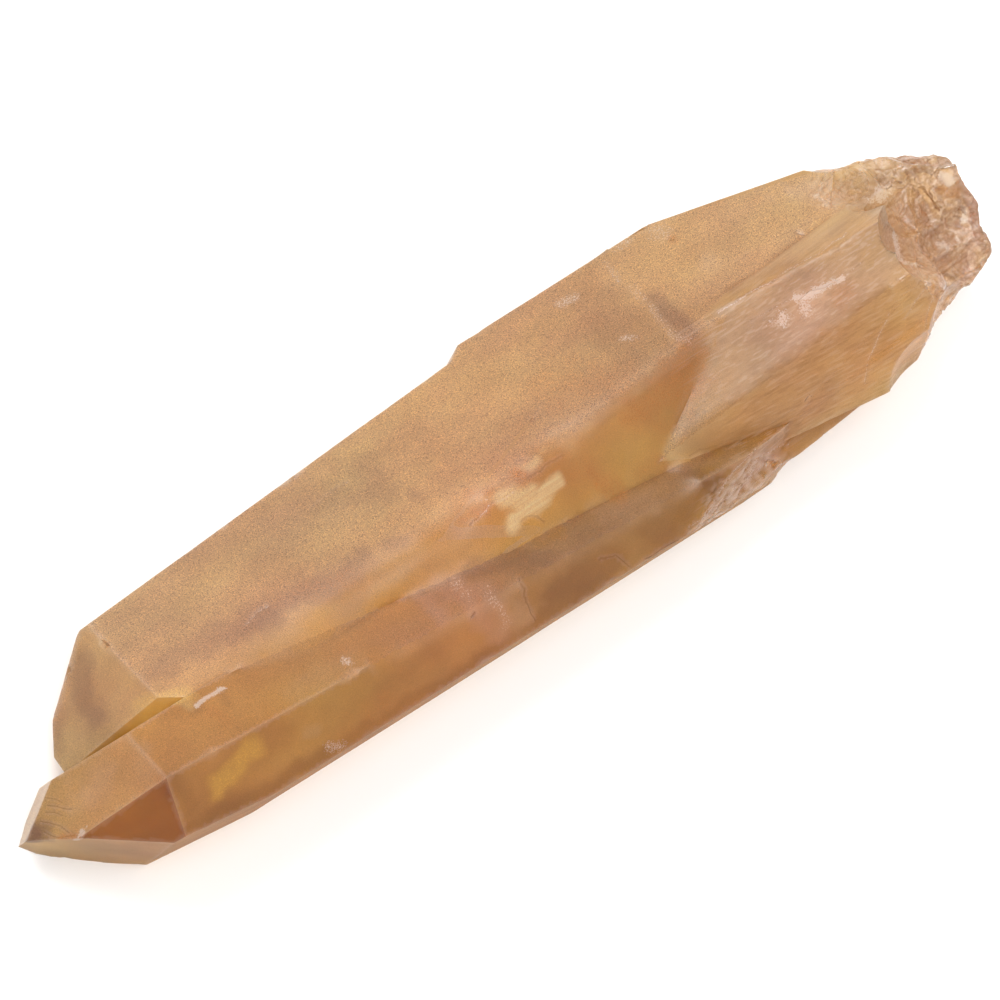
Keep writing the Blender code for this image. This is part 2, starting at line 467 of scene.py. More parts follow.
def cell_chips(points, spacing, seed):
    """Flat facets side by side: each cell about a scattered point slopes its own random way."""
    table = np.random.default_rng(seed).uniform(-1.0, 1.0, (4096, 6))
    away, _, rows = nearest_seed(points, spacing, table)
    return np.clip((away * rows[:, 3:]).sum(axis=1), -1.0, 1.0)


def ripples(points, spacing, wave, seed):
    """Rings about scattered points, one to a cube, each ringing only the places nearest to it."""
    table = np.random.default_rng(seed).uniform(-1.0, 1.0, (4096, 3))
    _, middle, rows = nearest_seed(points, spacing, table)
    far = np.linalg.norm(middle - 1.3 * rows[:, ::-1], axis=1)
    return np.sin(2.0 * pi * far * spacing / wave)


def patch(places, centre, reach, soft=1.0):
    """1 at a centre, 0 outside an ellipsoid of those half sizes, with a smooth fall over its outer share."""
    far = np.linalg.norm((places - np.array(centre)) / np.array(reach), axis=1)
    return 1.0 - ease(far, 1.0 - soft, 1.0)


def band(places, start, end, radius):
    """1 along a straight line, falling smoothly to 0 at a distance from it."""
    start, end = np.array(start, float), np.array(end, float)
    along = np.clip((places - start) @ (end - start) / max((end - start) @ (end - start), 1e-6), 0.0, 1.0)
    far = np.linalg.norm(places - start - along[:, None] * (end - start), axis=1)
    return 1.0 - ease(far, 0.2 * radius, radius)


def veil_field(places, veils, waver):
    """The strongest of some veils at each place: each is a soft band about a bent line, frayed at random."""
    total = np.zeros(len(places))
    for strength, radius, corners in veils:
        near = (np.abs(places - np.mean(corners, axis=0)).max(axis=1)
                < 2.0 * radius + np.ptp(np.array(corners), axis=0).max())
        frayed = places[near] + radius * waver[near]
        for start, end in zip(corners, corners[1:]):
            total[near] = np.maximum(total[near], strength * band(frayed, start, end, 1.3 * radius))
    return total


def face_side(places, one, other):
    """How far a place lies toward the second of two crystal faces from the edge where they meet."""
    sides = []
    for azimuth, tilt, distance in (one, other):
        normal = np.array([sin(radians(tilt)), cos(radians(tilt)) * sin(radians(azimuth)),
                           cos(radians(tilt)) * cos(radians(azimuth))])
        sides.append(places @ normal - distance)
    return sides[1] - sides[0]


def soften(points, triangles, share, rounds):
    """Moves each point toward the mean of its neighbours, by a share that differs from point to point."""
    _, edges = touching(triangles)
    count = len(points)
    uses = np.bincount(edges.ravel(), minlength=count)
    for _ in range(rounds):
        for axis in range(3):
            column = points[:, axis]
            total = np.bincount(edges[:, 0], column[edges[:, 1]], count)
            total += np.bincount(edges[:, 1], column[edges[:, 0]], count)
            points[:, axis] = column + share * (total / uses - column)
    return points


def creases(points, triangles, angle):
    """For each point, the bend in radians of the sharpest edge that meets there, if it is over an angle."""
    pairs, edges = touching(triangles)
    normals = face_normals(points, triangles)
    bend = np.arccos(np.clip((normals[pairs[:, 0]] * normals[pairs[:, 1]]).sum(axis=1), -1.0, 1.0))
    middle = points[triangles].mean(axis=1)
    hollow = ((middle[pairs[:, 1]] - middle[pairs[:, 0]]) * normals[pairs[:, 0]]).sum(axis=1) > 0.0
    bend[(bend < angle) | hollow] = 0.0
    sharpest = np.zeros(len(points))
    np.maximum.at(sharpest, edges.ravel(), np.repeat(bend, 2))
    return sharpest


def broken_share(places):
    """Where the stone is broken rather than grown: the base end and the slanting lower flank."""
    wander = 2.5 * random_field(places, 7.0, 31)
    base = ease(-places[:, 0] + wander + 0.12 * places[:, 1], 44.0, 49.0)
    lens = patch(places, (-41.8, 8.5, 8.3), (7.0, 5.5, 6.0), 0.3)
    flank = patch(places, (-20.5, 12.5, 2.5), (8.5, 4.5, 6.0), 0.4)
    flank *= ease(places[:, 2] + 0.3 * wander, 0.9, 2.3)
    shoulder = 0.75 * patch(places, (-47.0, -8.0, 6.8), (5.0, 4.0, 4.0), 0.5)
    return np.clip(np.maximum(np.maximum(base, shoulder), flank) - lens, 0.0, 1.0)


def relief(places, broken):
    """How far the surface lies under the smooth faces, in millimetres."""
    drift = places + 0.3 * np.stack([random_field(places, 2.0, seed) for seed in (13, 14, 15)], axis=1)
    rough = sum(height * (1.0 + cell_chips(drift, spacing, seed)) for spacing, height, seed in CHIPS)
    rough += RIPPLE_HEIGHT * (1.0 + ripples(drift, RIPPLE_SIZE, RIPPLE_WAVE, 7))
    rough += GRIT_HEIGHT * (1.0 + rough_field(places, GRIT_SIZE, 2, 6))
    crown = ease(-places[:, 0], 19.0, 26.0) * ease(places[:, 1], -9.0, -5.0) * ease(places[:, 2], 2.0, 4.0)
    along = places * np.array([0.12, 1.0, 1.0]) + 0.4 * random_field(places, 6.0, 8)[:, None]
    streaks = 0.05 * (1.0 + random_field(along, 1.6, 9)) + 0.03 * (1.0 + random_field(along, 0.7, 10))
    waves = 0.03 * (1.0 + rough_field(places * np.array([0.5, 1.0, 1.0]), 5.0, 2, 12))
    return broken * rough + (1.0 - broken) * (crown * streaks + waves)


def bend_of(points, triangles):
    """How far each point stands out over its neighbours, as a share of their distance from it."""
    _, edges = touching(triangles)
    count = len(points)
    uses = np.bincount(edges.ravel(), minlength=count)
    mean = np.zeros_like(points)
    for axis in range(3):
        mean[:, axis] += np.bincount(edges[:, 0], points[edges[:, 1], axis], count)
        mean[:, axis] += np.bincount(edges[:, 1], points[edges[:, 0], axis], count)
    length = np.linalg.norm(points[edges[:, 0]] - points[edges[:, 1]], axis=1)
    reach = (np.bincount(edges[:, 0], length, count) + np.bincount(edges[:, 1], length, count)) / uses
    return ((points - mean / uses[:, None]) * point_normals(points, triangles)).sum(axis=1) / reach


def surface(node, coarse, fine):
    """The finished crystal: even triangles, smooth fractures, softened growth steps and fine relief."""
    for shortest in SHORTEST_EDGES:
        points, triangles, sources, normals, trace = even_mesh(flat_faces(node, shortest), coarse, fine,
                                                               along_marks(placed(HAIRLINES, node)))
        if closed(triangles):
            break
    else:
        raise RuntimeError("the crystal's surface can't be closed")
    points = smooth_facets(points, triangles, 12, FACET_ANGLE)
    places = points - AXIS
    share = np.zeros(len(points))
    for most, centre, reach, soft in SOFT_PATCHES:
        share = np.maximum(share, most * patch(places, centre, reach, soft))
    for most, start, end, radius in SOFT_CREASES:
        share = np.maximum(share, most * band(places, start, end, radius))
    points = soften(points, triangles, share, 60)
    points = soften(points, triangles, 0.4 * broken_share(points - AXIS), 12)
    # Crisp outer edges: worn into nicks here, and lightened by a painted highlight in the masks.
    crease_wear_and_highlight = creases(points, triangles, WEAR_AND_HIGHLIGHT_ANGLE)
    normals_here = point_normals(points, triangles)
    places = points - AXIS
    broken = broken_share(places)
    nick = np.maximum(0.0, random_field(places, 1.3, 41) - 0.2) ** 2 * 0.5 + 0.03
    chipped = 1.0 + 3.0 * patch(places, (46.0, -8.0, -4.0), (6.0, 6.0, 8.0), 0.4)
    depth = relief(places, broken) + np.minimum(crease_wear_and_highlight, 0.8) * (1.0 - broken) * nick * chipped
    depth += HAIRLINE_DEPTH * np.abs(trace) - FRACTURE_STOCK * broken
    points = points - normals_here * depth[:, None]
    low, high = np.array(CAD_BOX) / MM
    points = np.clip(points, low + BOX_GAP, high - BOX_GAP)
    return points, triangles, sources, normals, trace, crease_wear_and_highlight


def paint(piece, name, values):
    """Keeps a mask or a colour on the mesh: one value, or one row of three, at each triangle's corner."""
    if values.ndim == 3:
        tones = np.concatenate([values, np.ones((*values.shape[:2], 1))], axis=2)
        layer = piece.data.attributes.new(name, "FLOAT_COLOR", "CORNER")
        layer.data.foreach_set("color", tones.astype(np.float32).ravel())
    else:
        layer = piece.data.attributes.new(name, "FLOAT", "CORNER")
        layer.data.foreach_set("value", values.astype(np.float32).ravel())


# Hairlines on the surface: strength, bright over 0 and dark under it, and corners in the picture. The bright
# ones join the white bruises, and some of them are painted glints.
HAIRLINES = [
    (0.9, ((195, 705), (207, 697), (225, 688))),
    (0.5, ((246, 625), (258, 613), (269, 606))),
    (0.3, ((310, 510), (330, 493), (350, 480))),
    (-0.3, ((505, 470), (520, 462), (545, 455))),
    (-0.4, ((562, 455), (540, 470), (520, 480), (505, 478))),
    (0.5, ((475, 522), (490, 505), (515, 490))),
    (-0.4, ((519, 523), (532, 515), (545, 520))),
    (-0.9, ((478, 518), (470, 523))),
    (0.6, ((719, 309), (760, 285), (800, 262), (845, 232))),
    (-0.25, ((735, 262), (765, 243), (800, 226), (835, 210))),
    (0.4, ((750, 320), (790, 300), (812, 292), (844, 276), (862, 262))),
    (-0.2, ((800, 423), (840, 390), (866, 372))),
    (0.7, ((866, 382), (868, 364), (875, 345), (891, 313))),
    (-0.2, ((720, 430), (760, 400), (800, 372), (850, 322))),
    (-0.2, ((690, 455), (730, 440), (770, 425), (800, 405))),
    (1.0, ((800, 300), (809, 291), (824, 289), (840, 279))),
    (0.6, ((905, 320), (918, 300), (930, 285))),
    (0.6, ((925, 330), (930, 305), (938, 290))),
    (0.8, ((688, 535), (705, 515), (720, 495), (732, 475), (756, 449))),
    (0.7, ((704, 527), (716, 512), (738, 489), (755, 472))),
    (-1.0, ((740, 504), (755, 494), (770, 482))),
    (0.5, ((745, 470), (765, 455), (790, 445))),
    (0.5, ((690, 528), (720, 505), (745, 482), (775, 462))),
    (-0.5, ((522, 578), (525, 596), (535, 621))),
    (-0.9, ((647, 559), (665, 548), (686, 536))),
    (-0.5, ((600, 560), (615, 555), (628, 566))),
    (-0.9, ((478, 612), (473, 616))),
    (-0.54, ((48, 806), (60, 807), (70, 808))),
    (-0.42, ((46, 812), (62, 815))),
    (-0.6, ((42, 820), (60, 826), (70, 833))),
    (-0.54, ((45, 832), (58, 838), (76, 836))),
    (1.0, ((78, 838), (84, 830), (86, 826))),
    (-0.36, ((45, 797), (60, 802))),
    (0.3, ((770, 190), (784, 181), (791, 204))),
    (-1.0, ((806, 400), (810, 395), (812, 397))),
    (-0.8, ((797, 232), (803, 234))),
]

# Veils inside the stone and bruises on it, by what they do to its colour: strength, radius in millimetres and
# corners in the picture. The glow veils are painted light: a flash thrown back by inner fractures.
VEILS = {
    # Whitish bruises and chips, some of them painted glints where light catches them.
    "white": [
        (0.35, 1.6, ((655, 232), (660, 230))),
        (0.5, 0.8, ((560, 302), (575, 296))),
        (0.5, 0.5, ((622, 338), (632, 336))),
        (0.3, 0.7, ((633, 288), (650, 305), (672, 332), (690, 342))),
        (0.35, 0.5, ((606, 262), (620, 280))),
        (0.35, 0.8, ((614, 248), (628, 238))),
        (0.8, 0.4, ((473, 506), (490, 497))),
        (1.0, 0.3, ((197, 706), (205, 698), (213, 695), (223, 687))),
        (0.6, 0.6, ((345, 659), (348, 663))),
        (0.3, 1.0, ((458, 585), (466, 592))),
        (0.3, 1.0, ((492, 592), (507, 622))),
        (0.5, 0.8, ((327, 748), (339, 745))),
        (1.0, 0.4, ((76, 840), (82, 832))),
        (1.0, 0.45, ((795, 298), (808, 297), (820, 290), (831, 283), (843, 279))),
        (0.7, 0.6, ((783, 312), (784, 322))),
        (0.5, 0.5, ((770, 322), (790, 315))),
        (0.6, 0.8, ((806, 305), (806, 312))),
        (1.0, 0.9, ((880, 193), (884, 196))),
        (0.6, 1.0, ((872, 200), (890, 188))),
        (0.8, 0.6, ((894, 238), (898, 252), (906, 262), (914, 262))),
        (1.0, 0.75, ((944, 178), (951, 180))),
        (0.9, 0.8, ((939, 243), (946, 245))),
        (0.8, 0.5, ((964, 212), (965, 220))),
        (0.7, 0.4, ((927, 283), (930, 285))),
        (0.7, 0.3, ((900, 280), (903, 278))),
        (0.7, 0.5, ((950, 282), (954, 283))),
    ],
    "pale": [
        (0.5, 2.4, ((757, 235), (790, 215))),
        (0.7, 2.2, ((540, 328), (560, 315))),
        (0.4, 1.6, ((418, 402), (395, 420))),
        (0.65, 1.5, ((367, 447), (345, 458))),
        (0.7, 1.6, ((336, 482), (350, 478))),
        (0.35, 2.6, ((430, 505), (380, 522))),
        (0.3, 2.6, ((320, 548), (350, 550))),
        (0.4, 1.8, ((165, 690), (235, 655), (290, 626))),
        (0.8, 0.9, ((478, 488), (510, 472), (530, 465))),
        (0.5, 1.2, ((462, 478), (478, 474))),
        (0.4, 1.6, ((300, 690), (330, 672), (345, 661))),
        (0.45, 1.0, ((530, 577), (512, 600), (525, 628))),
        (0.4, 0.7, ((306, 734), (316, 730))),
        (0.4, 1.6, ((108, 695), (132, 682))),
        (0.5, 1.3, ((138, 750), (146, 770))),
        (0.5, 0.9, ((708, 318), (728, 310))),
        (0.6, 0.7, ((714, 335), (690, 385), (668, 455))),
        (0.5, 1.6, ((748, 382), (764, 378))),
        (0.6, 0.8, ((832, 327), (850, 320), (867, 314))),
        (0.6, 1.0, ((800, 245), (850, 205))),
        (0.45, 1.0, ((800, 432), (850, 406))),
        (0.5, 0.7, ((758, 452), (800, 426))),
        (0.7, 0.4, ((722, 500), (740, 470))),
        (0.5, 1.0, ((905, 302), (912, 312), (925, 310))),
    ],
    "milk": [
        (0.5, 2.0, ((795, 192), (835, 192))),
        (0.35, 1.3, ((707, 262), (709, 264))),
        (0.5, 1.6, ((428, 600), (438, 610))),
        (0.5, 2.4, ((455, 590), (490, 600), (508, 620))),
        (0.35, 1.6, ((600, 510), (650, 498))),
        (0.3, 2.0, ((85, 795), (100, 780))),
        (0.35, 1.8, ((815, 305), (792, 350), (780, 374))),
        (0.7, 0.7, ((955, 168), (973, 200), (976, 240), (970, 268), (958, 288))),
        (0.8, 0.7, ((733, 502), (750, 478), (776, 455))),
    ],
    "golden": [
        (0.7, 4.5, ((780, 450), (745, 485), (715, 505))),
        (0.7, 1.4, ((300, 640), (355, 600), (400, 565), (450, 545))),
        (0.8, 2.6, ((545, 515), (600, 470))),
        (0.5, 1.4, ((158, 738), (165, 722))),
        (1.0, 3.2, ((285, 738), (305, 718))),
        (1.0, 1.9, ((855, 225), (875, 245))),
        (0.8, 1.4, ((745, 292), (800, 262), (840, 240))),
        (0.6, 1.2, ((912, 232), (925, 240))),
        (0.7, 1.3, ((895, 215), (890, 205))),
        (0.9, 2.0, ((885, 350), (905, 320))),
        (0.9, 0.9, ((672, 461), (712, 450))),
    ],
    # Painted light: a bright flash thrown back by inner fractures.
    "glow": [
        (0.35, 1.5, ((143, 715), (152, 706), (184, 698))),
        (1.0, 1.1, ((512, 522), (535, 505), (555, 482))),
        (0.8, 1.7, ((513, 500), (530, 495))),
        (0.55, 0.7, ((530, 466), (540, 456))),
        (0.4, 0.6, ((545, 450), (560, 442))),
    ],
    "honey": [
        (0.75, 1.5, ((221, 786), (240, 766), (252, 748))),
        (0.5, 1.5, ((143, 715), (152, 706), (184, 698))),
    ],
    "amber": [
        (0.2, 2.6, ((214, 792), (240, 766), (269, 734))),
    ],
    "rust": [
        (0.8, 0.6, ((670, 239), (672, 239))),
        (0.3, 3.2, ((560, 390), (620, 380))),
        (0.35, 2.4, ((318, 592), (345, 585))),
        (0.9, 0.7, ((463, 521), (486, 511))),
        (0.6, 0.8, ((468, 493), (492, 489))),
        (0.8, 0.9, ((517, 475), (535, 487))),
        (0.75, 1.3, ((592, 472), (615, 490))),
        (0.4, 2.4, ((570, 470), (580, 465))),
        (0.7, 2.6, ((640, 410), (665, 395), (690, 360))),
        (0.4, 1.1, ((645, 472), (660, 462))),
        (0.4, 1.0, ((213, 712), (225, 720))),
        (0.8, 0.5, ((481, 599), (484, 600))),
        (0.35, 2.0, ((340, 740), (385, 702))),
        (0.8, 0.5, ((62, 838), (76, 837))),
        (0.6, 1.3, ((842, 300), (848, 290))),
        (0.8, 0.8, ((941, 190), (955, 192))),
        (0.7, 0.4, ((742, 504), (775, 466))),
    ],
    "grey": [
        (0.8, 1.2, ((655, 297), (672, 315), (690, 335))),
        (0.35, 2.0, ((370, 470), (385, 500))),
        (0.5, 0.8, ((413, 492), (418, 496))),
        (0.45, 1.0, ((388, 543), (400, 540))),
        (0.6, 2.2, ((160, 668), (190, 650), (260, 615), (320, 590), (365, 562))),
        (0.6, 0.4, ((515, 522), (519, 519))),
        (0.5, 0.8, ((186, 706), (197, 708))),
        (0.4, 0.8, ((225, 698), (228, 702))),
        (0.55, 1.2, ((470, 572), (520, 560), (560, 553))),
        (0.35, 2.0, ((580, 545), (620, 527))),
        (0.6, 1.3, ((688, 475), (718, 490))),
        (0.35, 2.6, ((385, 692), (435, 660))),
        (0.7, 1.5, ((79, 662), (83, 682), (86, 700), (98, 716))),
        (0.4, 1.0, ((55, 728), (62, 750))),
        (1.0, 1.1, ((32, 838), (42, 828), (46, 838))),
        (0.35, 2.0, ((688, 420), (698, 440))),
        (0.5, 1.2, ((880, 178), (905, 176), (935, 178))),
        (0.4, 1.4, ((935, 208), (955, 215))),
    ],
    "dusk": [
        (0.35, 2.6, ((410, 560), (430, 545), (460, 535))),
        (0.3, 4.0, ((780, 450), (745, 485), (715, 505))),
        (0.35, 4.0, ((595, 300), (640, 350))),
        (0.45, 1.5, ((650, 380), (700, 345))),
        (0.3, 1.0, ((600, 420), (650, 385), (705, 338))),
        (0.8, 0.4, ((475, 611), (475, 615))),
        (0.45, 2.6, ((560, 600), (600, 572))),
        (0.35, 3.0, ((655, 525), (690, 500))),
        (0.7, 1.3, ((190, 828), (300, 772), (400, 712), (500, 650), (600, 590))),
        (0.5, 1.6, ((178, 785), (190, 812))),
        (0.4, 1.0, ((730, 290), (790, 262))),
        (0.8, 0.5, ((944, 272), (954, 276))),
    ],
    "dark": [
        (1.0, 0.9, ((27, 842), (36, 834))),
    ],
}

# Crystal faces by the azimuth and tilt of their normals, in degrees, and the share of each finish on them.
FACE_FINISH = {
    "main_left": (-31.7, 2.8, {"frost": 1.0}),
    "main_right": (28.8, 3.0, {"frost": 1.0}),
    "main_right_back": (20.5, -1.0, {"frost": 1.0}),
    "main_point_left": (-30.8, 40.6, {"frost": 0.5, "pale": 0.5}),
    "main_point_right": (28.6, 36.0, {"golden": 1.0, "frost": 0.1}),
    "side_left": (-31.0, -5.7, {"golden": 0.6, "frost": 0.6, "dusk": 0.3}),
    "side_right": (31.1, -2.0, {"golden": 0.9, "frost": 0.25, "dusk": 0.15}),
    "side_low": (87.5, 0.7, {"golden": 1.0, "amber": 0.35, "matte": 0.8}),
    "side_low_back": (87.8, 6.7, {"golden": 0.9, "amber": 0.3, "frost": 0.1, "matte": 0.8}),
    "side_point_far": (-91.0, 37.6, {"frost": 1.0, "milk": 0.7}),
    "side_point_left": (-30.7, 38.5, {"golden": 0.5, "frost": 0.6, "dusk": 0.3}),
    "side_point_right": (28.0, 37.9, {"golden": 0.6, "amber": 1.0, "frost": 0.05}),
    "side_point_low": (89.1, 38.2, {"golden": 0.8, "amber": 0.3, "frost": 0.2, "pale": 0.3, "matte": 0.7}),
    "crown_top": (-2.5, 14.0, {"golden": 0.6, "frost": 0.15, "pale": 0.25, "dusk": 0.38}),
    "crown_left": (-58.0, 3.7, {"golden": 0.3, "frost": 0.3, "pale": 0.5}),
    "crown_right": (40.0, 8.1, {"golden": 0.35, "frost": 0.2, "pale": 0.6, "dusk": 0.05}),
}
OTHER_FINISH = {"golden": 0.35, "frost": 0.4, "pale": 0.3, "dusk": 0.05}
FINISHES = ("golden", "amber", "frost", "milk", "pale", "dusk", "matte")

# Masks that the stone's material reads beside its colour.
STONE_MASKS = ("frost", "lined", "rust", "glow", "honey", "white", "rough")

# What the veils multiply the colour by, and the clouds at their weakest and at their strongest, and the painted
# shade of hollows, the painted highlights of ridges and of worn edges, and the tone of dark marks.
DUSK_TONE = (0.58, 0.50, 0.42)
GREY_TONE = (0.56, 0.52, 0.60)
CLOUD_TONES = {
    "cloud": ((0.82, 0.78, 0.78), (1.12, 1.10, 0.98)),
    "veil": ((0.88, 0.84, 0.80), (1.12, 1.13, 1.10)),
    "warm": ((1.04, 0.95, 0.97), (0.98, 1.04, 0.93)),
}
HOLLOW_SHADE_TONE = (0.60, 0.46, 0.32)
RIDGE_HIGHLIGHT_TONE = (0.95, 0.85, 0.76)
EDGE_WEAR_AND_HIGHLIGHT_TONE = (0.90, 0.76, 0.58)
DARK_TONE = (0.20, 0.10, 0.05)

# Colours of the fine detail: rust, the bright flash, painted as light thrown back by an inner fracture, the
# honey patches, the frost's dark and light sand, the pale and dark lines of the raised crystal and the fractures,
# and the painted glints on the bruises.
RUST = (0.55, 0.24, 0.05)
FLASH_REFLECTION = (1.0, 0.92, 0.52)
HONEY = (0.98, 0.66, 0.10)
SAND_DARK = (0.46, 0.40, 0.46)
SAND_LIGHT = (1.65, 1.60, 1.46)
PALE_LINE = (0.90, 0.78, 0.60)
DARK_LINE = (0.64, 0.52, 0.36)
BRUISE_GLINT = (1.0, 0.93, 0.84)

# Grains, specks and streaks to the metre, and how many times longer the streaks are along the axis.
GRAIN_SCALE = 6500.0
SPECK_SCALE = 9000.0
STREAK_SCALE = 3200.0
STREAK_STRETCH = 25.0


def masks(node, points, triangles, sources, normals, trace, crease_wear_and_highlight):
    """The masks that the finish reads, each with one row for a triangle and one column for a corner."""
    places = points - AXIS
    x, y, z = places.T
    azimuth = np.degrees(np.arctan2(normals[:, 1], normals[:, 2]))
    tilt = np.degrees(np.arcsin(np.clip(normals[:, 0], -1.0, 1.0)))
    table = {finish: np.full(len(normals), OTHER_FINISH.get(finish, 0.0)) for finish in FINISHES}
    face = {}
    for name, (at_azimuth, at_tilt, shares) in FACE_FINISH.items():
        near = (np.abs(azimuth - at_azimuth) < 1.0) & (np.abs(tilt - at_tilt) < 1.0)
        for finish in FINISHES:
            table[finish][near] = shares.get(finish, 0.0)
        face[name] = near[sources][:, None] * np.ones(3)
    made = {finish: np.repeat(share[sources][:, None], 3, axis=1) for finish, share in table.items()}
    corner = triangles
    drift = places + 1.6 * np.stack([random_field(places, 5.0, seed) for seed in (21, 22, 23)], axis=1)
    broken = broken_share(places)
    crown = ease(-x, 18.0, 27.0) * ease(y, -7.0, -3.5) * ease(z, 2.0, 5.0)
    clouds = 0.5 + 0.5 * rough_field(places * np.array([0.6, 1.0, 1.0]), 9.0, 3, 51)
    veil = 0.5 + 0.5 * rough_field(places * np.array([0.6, 1.0, 1.0]), 2.6, 3, 55)
    warm = 0.5 + 0.6 * rough_field(places * np.array([0.5, 1.0, 1.0]), 7.0, 4, 58)

    # Main crystal: frosted on the left, and honey gold where its lower face dips toward the groove.
    main = face["main_left"] + face["main_right"] + face["main_right_back"]
    turn = face_side(drift, (-31.7, 2.6, 7.8), (28.8, 3.0, 8.2))
    gold = ease(turn, -3.6, 0.8) * ease(x, -12.0, -4.0)
    turn_back = face_side(places, (-31.7, 3.0, 7.75), (20.5, -1.0, 7.5))
    upper = ease(turn_back, -0.25, 0.25) * ease(-x, -3.0, 6.0)
    gold = np.maximum(gold, 0.85 * upper)
    made["golden"] += main * (gold + 0.12 * clouds)[corner]
    made["frost"] -= main * (0.6 * gold + 0.25 * upper)[corner]
    made["dusk"] += main * (0.35 * upper * ease(-x, 6.0, 22.0))[corner]

    # Side crystal: golden brown, deeper toward its point, and smoky over its middle.
    side = face["side_left"] + face["side_right"]
    made["golden"] += side * (0.4 * ease(x, 20.0, 40.0) - 0.2 * ease(-x, -22.0, 0.0))[corner]
    made["dusk"] += side * (0.05 + 0.45 * ease(-x, -24.0, 4.0) + 0.15 * clouds)[corner]

    whole = np.ones_like(corner, float)
    made["pale"] = np.maximum(made["pale"], (broken * (0.3 + 0.45 * ease(-x, 30.0, 40.0)))[corner])
    made["milk"] += 0.25 * main * (ease(-x, 20.0, 40.0) * (1.0 - crown))[corner]
    made["pale"] += whole * (0.35 * ease(-x, 24.0, 44.0) * (1.0 - crown))[corner] * main
    made["frost"] *= (1.0 - 0.8 * broken)[corner]
    made["golden"] *= (1.0 - 0.7 * broken)[corner]
    made["dusk"] *= (1.0 - broken)[corner]
    made["milk"] += 0.4 * (broken * ease(-x, 38.0, 44.0))[corner]
    made["broken"] = broken[corner] * whole
    made["crown"] = crown[corner] * whole
    # Painted highlight along the crisp outer edges, which are also worn.
    made["edge"] = (np.minimum(crease_wear_and_highlight, 1.0) * (1.0 - 0.8 * broken))[corner] * whole
    made["cloud"] = clouds[corner] * whole
    made["veil"] = veil[corner] * whole
    made["warm"] = warm[corner] * whole

    # Sandy frost where the raised crystal begins, and the veils and bruises, with the painted flash of light and
    # the painted glints among them.
    made["frost"] += 0.7 * face["crown_top"] * (1.0 - ease(-x, 19.0, 26.0))[corner]
    waver = np.stack([0.45 * rough_field(places, 1.6, 2, seed) for seed in (71, 73, 75)], axis=1)
    for name, veils in VEILS.items():
        made[name] = made.get(name, 0.0) + veil_field(places, placed(veils, node), waver)[corner] * whole
    # Bright hairlines join the white bruises and their painted glints.
    made["white"] += np.maximum(trace, 0.0)[corner]
    made["dark"] += np.maximum(-trace, 0.0)[corner]
    # Painted highlight on ridges, strongest on the fractures, and painted shade in hollows.
    bend = bend_of(points, triangles)
    made["ridge"] = ease(bend, 0.01, 0.08)[corner] * (0.25 + 0.75 * broken)[corner] * whole
    made["hollow"] = ease(-bend, 0.01, 0.10)[corner] * whole
    return {name: np.clip(values, 0.0, 1.0) for name, values in made.items()}


def mixed(body, share, tone):
    """Colours moved toward a tone, by a share of the way at each place."""
    return body + share[..., None] * (np.array(tone) - body)


def shaded(body, share, tone):
    """Colours multiplied by a tone, by a share of its effect at each place."""
    return body * (1.0 + share[..., None] * (np.array(tone) - 1.0))


def stone_colours(made, settings):
    """The stone's colour at each corner, painted shade and highlights included: its tones mixed and shaded by the
    masks, one after another.
    """
    body = mixed(np.array(settings.skin_colour), made["golden"], settings.golden_colour)
    body = mixed(body, made["amber"], settings.amber_colour)
    body = mixed(body, made["pale"], settings.pale_colour)
    body = mixed(body, made["milk"], settings.milk_colour)
    body = shaded(body, made["dusk"], DUSK_TONE)
    body = shaded(body, made["grey"], GREY_TONE)
    for name, (low, high) in CLOUD_TONES.items():
        body = body * mixed(np.array(low), made[name], high)
    # Painted shade in hollows and painted highlight on ridges.
    body = shaded(body, 0.5 * made["hollow"], HOLLOW_SHADE_TONE)
    body = mixed(body, 0.4 * made["ridge"], RIDGE_HIGHLIGHT_TONE)
    # Worn outer edges lightened by a painted highlight.
    body = mixed(body, 0.15 * made["edge"], EDGE_WEAR_AND_HIGHLIGHT_TONE)
    return mixed(body, 0.8 * made["dark"], DARK_TONE)


def stone_roughness(made, settings):
    """Roughness at each corner: the frost's, less on fractures and amber facets and more on the matte sides."""
    glossy = np.maximum(made["broken"], made["amber"])
    return np.clip(settings.frost_roughness - 0.12 * glossy + 0.4 * made["matte"], 0.0, 1.0)


def mesh_object(name, points, triangles):
    """A smooth-shaded mesh in metres whose edges stay crisp where the stone bends sharply."""
    mesh = bpy.data.meshes.new(name)
    mesh.vertices.add(len(points))
    mesh.vertices.foreach_set("co", (points * MM).astype(np.float32).ravel())
    mesh.loops.add(triangles.size)
    mesh.loops.foreach_set("vertex_index", triangles.astype(np.int32).ravel())
    mesh.polygons.add(len(triangles))
    mesh.polygons.foreach_set("loop_start", np.arange(0, triangles.size, 3, dtype=np.int32))
    mesh.polygons.foreach_set("loop_total", np.full(len(triangles), 3, dtype=np.int32))
    mesh.polygons.foreach_set("use_smooth", np.ones(len(triangles), bool))
    mesh.update(calc_edges=True)
    ends = np.zeros(len(mesh.edges) * 2, np.int32)
    mesh.edges.foreach_get("vertices", ends)
    pairs, edges = touching(triangles)
    normals = face_normals(points, triangles)
    bend = (normals[pairs[:, 0]] * normals[pairs[:, 1]]).sum(axis=1)
    crisp = edges[bend < cos(CRISP_ANGLE)]
    ends = np.sort(ends.reshape(-1, 2), axis=1).astype(np.int64)
    codes = ends[:, 0] * len(points) + ends[:, 1]
    sharp = mesh.attributes.new("sharp_edge", "BOOLEAN", "EDGE")
    sharp.data.foreach_set("value", np.isin(codes, crisp[:, 0].astype(np.int64) * len(points) + crisp[:, 1]))
    mesh.update()
    piece = bpy.data.objects.new(name, mesh)
    bpy.context.scene.collection.objects.link(piece)
    return piece


# ---------------------------------------------------------------- the stone's finish

